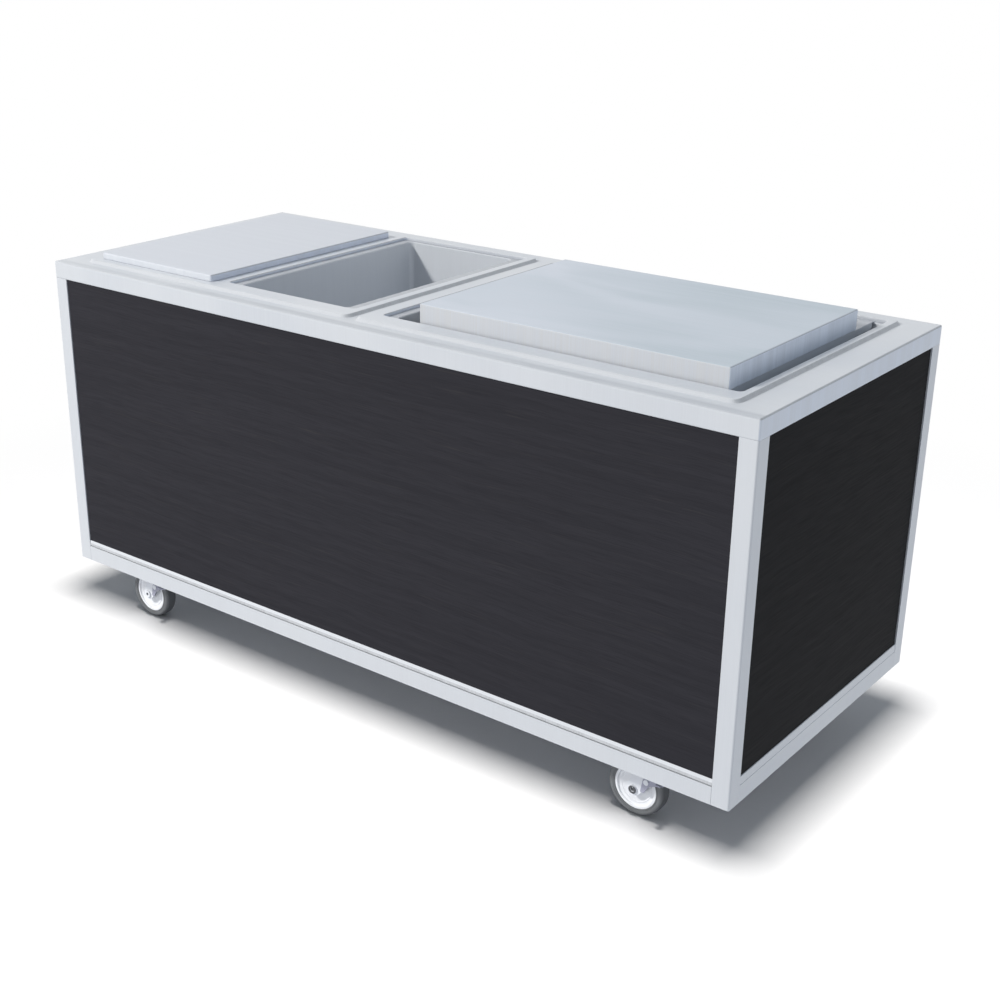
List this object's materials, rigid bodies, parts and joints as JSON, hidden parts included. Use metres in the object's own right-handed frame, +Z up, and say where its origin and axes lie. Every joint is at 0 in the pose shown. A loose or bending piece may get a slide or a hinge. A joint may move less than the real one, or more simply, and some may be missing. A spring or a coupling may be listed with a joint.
{
  "type": "mobile salad bar",
  "caption": "Wheeled serving counter with sunken cold wells in a rimmed steel top, loose lids, dark side panels and open storage behind.",
  "frame": {"origin": "on the floor under the middle of the counter's outline", "axes": "+X along the counter towards its right end seen from the guests' side, -Y towards the guests, +Z up"},
  "size_m": [1.85, 0.765, 0.9568],
  "materials": {
    "counter_steel": "satin brushed sheet",
    "frame_steel": "satin brushed tube",
    "trim_steel": "satin",
    "laminate": "dark wood-grain laminate",
    "storage_steel": "mill finish sheet",
    "well_steel": "drawn sheet, satin",
    "casing_steel": "mill finish sheet",
    "foam": "closed-cell foam",
    "drain_metal": "polished",
    "valve_brass": "cast and turned",
    "valve_grip": "dipped lever",
    "lid_steel": "satin",
    "cover_steel": "brushed along the length",
    "bar_steel": "satin",
    "zinc": "bright zinc",
    "dark_bolt": "dark plated",
    "wheel_grey": "moulded",
    "tyre": "soft grey tread",
    "lever_grey": "stamped, coated"
  },
  "bodies": {
    "base": {"adapter_bars": "bar_steel", "bottom_deck": "storage_steel", "caster_bolts": "zinc", "caster_channels": "frame_steel", "caster_plates": "zinc", "counter_braces": "frame_steel", "counter_top": "counter_steel", "divider_panel": "storage_steel", "drain_nuts": "drain_metal", "drain_pipes": "drain_metal", "drain_strainers": "drain_metal", "drain_valves": "valve_brass", "front_left_post": "frame_steel", "front_panel": "laminate", "front_retainer": "trim_steel", "front_right_post": "frame_steel", "left_panel": "laminate", "left_retainer": "trim_steel", "left_shelf": "storage_steel", "left_well_casing": "casing_steel", "left_well_liner": "well_steel", "lower_rails": "frame_steel", "middle_well_casing": "casing_steel", "middle_well_liner": "well_steel", "rear_left_post": "frame_steel", "rear_right_post": "frame_steel", "right_panel": "laminate", "right_retainer": "trim_steel", "right_shelf": "storage_steel", "right_well_casing": "casing_steel", "right_well_liner": "well_steel", "shelf_cleats": "storage_steel", "upper_rails": "frame_steel", "well_insulation": "foam"},
    "left_lid": {"left_lid_skin": "lid_steel", "left_lid_plug": "foam"},
    "right_cover": {"right_cover": "cover_steel"},
    "left_valve_lever": {"left_valve_handle": "valve_grip"},
    "middle_valve_lever": {"middle_valve_handle": "valve_grip"},
    "right_valve_lever": {"right_valve_handle": "valve_grip"},
    "front_left_swivel": {"front_left_fork": "zinc", "front_left_axle": "dark_bolt"},
    "front_left_wheel": {"front_left_hub": "wheel_grey", "front_left_tyre": "tyre"},
    "front_left_brake": {"front_left_brake_lever": "lever_grey"},
    "front_right_swivel": {"front_right_fork": "zinc", "front_right_axle": "dark_bolt"},
    "front_right_wheel": {"front_right_hub": "wheel_grey", "front_right_tyre": "tyre"},
    "front_right_brake": {"front_right_brake_lever": "lever_grey"},
    "rear_left_swivel": {"rear_left_fork": "zinc", "rear_left_axle": "dark_bolt"},
    "rear_left_wheel": {"rear_left_hub": "wheel_grey", "rear_left_tyre": "tyre"},
    "rear_left_brake": {"rear_left_brake_lever": "lever_grey"},
    "rear_right_swivel": {"rear_right_fork": "zinc", "rear_right_axle": "dark_bolt"},
    "rear_right_wheel": {"rear_right_hub": "wheel_grey", "rear_right_tyre": "tyre"},
    "rear_right_brake": {"rear_right_brake_lever": "lever_grey"}
  },
  "joints": [
    {"name": "left_lid_lift", "type": "slide", "parent": "base", "child": "left_lid", "axis": [0, 0, 1], "range_m": [0, 0.25]},
    {"name": "right_cover_lift", "type": "slide", "parent": "base", "child": "right_cover", "axis": [0, 0, 1], "range_m": [0, 0.3]},
    {"name": "left_valve_turn", "type": "hinge", "parent": "base", "child": "left_valve_lever", "pos_m": [-0.646, 0.02075, 0.6038], "axis": [0, 1, 0], "range_deg": [0, 90]},
    {"name": "middle_valve_turn", "type": "hinge", "parent": "base", "child": "middle_valve_lever", "pos_m": [-0.253, 0.04825, 0.6038], "axis": [0, 1, 0], "range_deg": [0, 90]},
    {"name": "right_valve_turn", "type": "hinge", "parent": "base", "child": "right_valve_lever", "pos_m": [0.4345, 0.04825, 0.6038], "axis": [0, 1, 0], "range_deg": [0, 90]},
    {"name": "front_left_swivel_turn", "type": "hinge", "parent": "base", "child": "front_left_swivel", "pos_m": [-0.723, -0.2805, 0.14], "axis": [0, 0, 1], "continuous": true},
    {"name": "front_left_wheel_spin", "type": "hinge", "parent": "front_left_swivel", "child": "front_left_wheel", "pos_m": [-0.771, -0.2805, 0.0635], "axis": [0, 1, 0], "continuous": true},
    {"name": "front_left_brake_press", "type": "hinge", "parent": "front_left_swivel", "child": "front_left_brake", "pos_m": [-0.74, -0.3045, 0.0915], "axis": [0, 1, 0], "range_deg": [0, 18]},
    {"name": "front_right_swivel_turn", "type": "hinge", "parent": "base", "child": "front_right_swivel", "pos_m": [0.723, -0.2805, 0.14], "axis": [0, 0, 1], "continuous": true},
    {"name": "front_right_wheel_spin", "type": "hinge", "parent": "front_right_swivel", "child": "front_right_wheel", "pos_m": [0.675, -0.2805, 0.0635], "axis": [0, 1, 0], "continuous": true},
    {"name": "front_right_brake_press", "type": "hinge", "parent": "front_right_swivel", "child": "front_right_brake", "pos_m": [0.706, -0.3045, 0.0915], "axis": [0, 1, 0], "range_deg": [0, 18]},
    {"name": "rear_left_swivel_turn", "type": "hinge", "parent": "base", "child": "rear_left_swivel", "pos_m": [-0.723, 0.2805, 0.14], "axis": [0, 0, 1], "continuous": true},
    {"name": "rear_left_wheel_spin", "type": "hinge", "parent": "rear_left_swivel", "child": "rear_left_wheel", "pos_m": [-0.771, 0.2805, 0.0635], "axis": [0, 1, 0], "continuous": true},
    {"name": "rear_left_brake_press", "type": "hinge", "parent": "rear_left_swivel", "child": "rear_left_brake", "pos_m": [-0.74, 0.2565, 0.0915], "axis": [0, 1, 0], "range_deg": [0, 18]},
    {"name": "rear_right_swivel_turn", "type": "hinge", "parent": "base", "child": "rear_right_swivel", "pos_m": [0.723, 0.2805, 0.14], "axis": [0, 0, 1], "continuous": true},
    {"name": "rear_right_wheel_spin", "type": "hinge", "parent": "rear_right_swivel", "child": "rear_right_wheel", "pos_m": [0.675, 0.2805, 0.0635], "axis": [0, 1, 0], "continuous": true},
    {"name": "rear_right_brake_press", "type": "hinge", "parent": "rear_right_swivel", "child": "rear_right_brake", "pos_m": [0.706, 0.2565, 0.0915], "axis": [0, 1, 0], "range_deg": [0, 18]}
  ]
}
